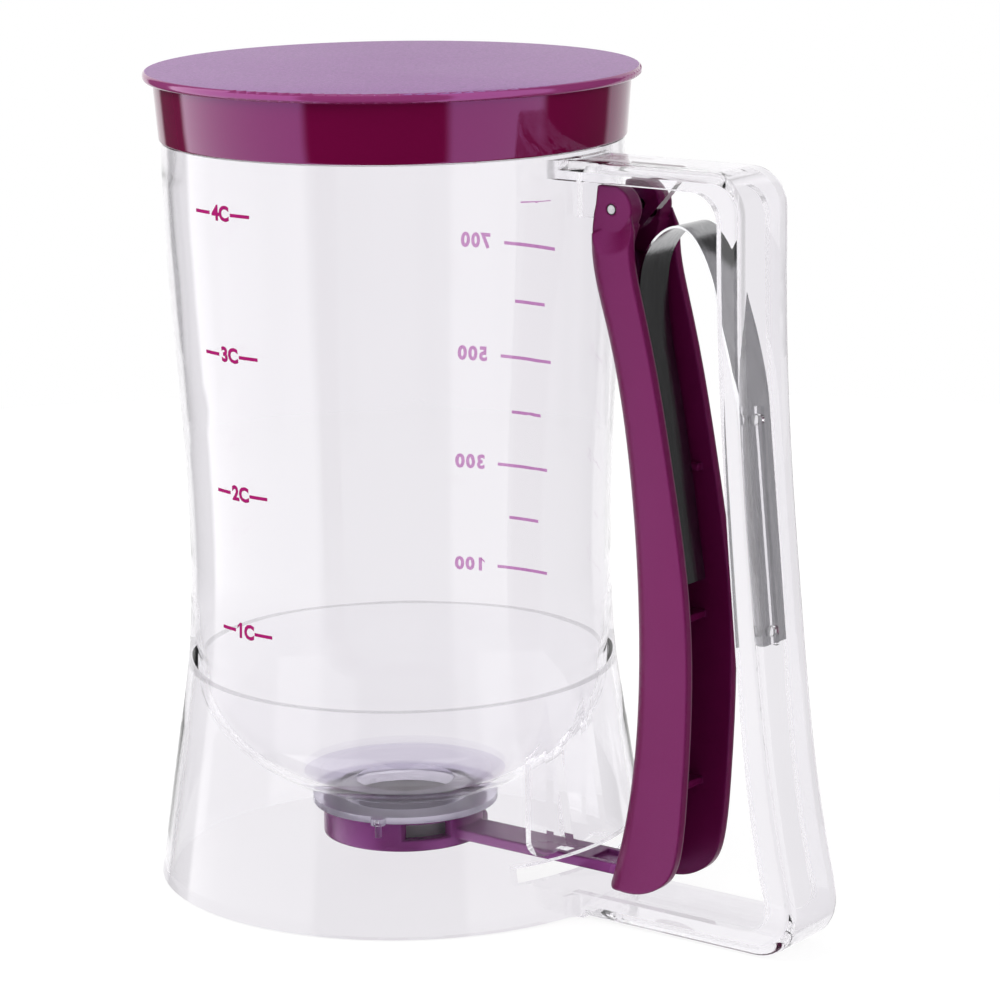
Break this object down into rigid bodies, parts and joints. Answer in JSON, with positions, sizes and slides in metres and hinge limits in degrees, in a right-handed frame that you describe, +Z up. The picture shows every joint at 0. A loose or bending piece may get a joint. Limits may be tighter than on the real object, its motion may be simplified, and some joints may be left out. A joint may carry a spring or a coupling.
{
  "type": "pancake batter dispenser",
  "caption": "Clear hopper with a lift-off lid and a side handle whose sprung trigger slides a valve from under the spout.",
  "frame": {"origin": "the hopper's axis at the table plane that the foot stands on", "axes": "+Z up along the hopper's axis, +X from the hopper towards the handle"},
  "size_m": [0.1791, 0.1194, 0.1949],
  "materials": {
    "clear_plastic": "clear polished moulding",
    "lid_plastic": "satin moulding with a fine grained top",
    "trigger_plastic": "satin moulding",
    "pin_steel": "drawn wire",
    "spring_steel": "rolled strip",
    "seal_rubber": "matt"
  },
  "bodies": {
    "frame": {"cup": "clear_plastic", "base_skirt": "clear_plastic", "handle_frame": "clear_plastic", "pivot_pin": "pin_steel", "leaf_spring": "spring_steel"},
    "trigger": {"trigger": "trigger_plastic"},
    "valve": {"valve_slider": "trigger_plastic", "valve_seal": "seal_rubber"},
    "lid": {"lid": "lid_plastic"}
  },
  "joints": [
    {"name": "trigger_squeeze", "type": "hinge", "parent": "frame", "child": "trigger", "pos_m": [0.0689, 0, 0.1673], "axis": [0, -1, 0], "range_deg": [0, 7], "stiffness_Nm_per_rad": 2, "springref_deg": -8.59, "deforming": ["leaf_spring"]},
    {"name": "valve_slide", "type": "slide", "parent": "frame", "child": "valve", "axis": [1, 0, 0], "range_m": [0, 0.0195]},
    {"name": "lid_lift", "type": "slide", "parent": "frame", "child": "lid", "axis": [0, 0, 1], "range_m": [0, 0.04]}
  ],
  "couplings": [
    {"joint": "valve_slide", "follows": "trigger_squeeze", "m_per_rad": 0.1557}
  ]
}
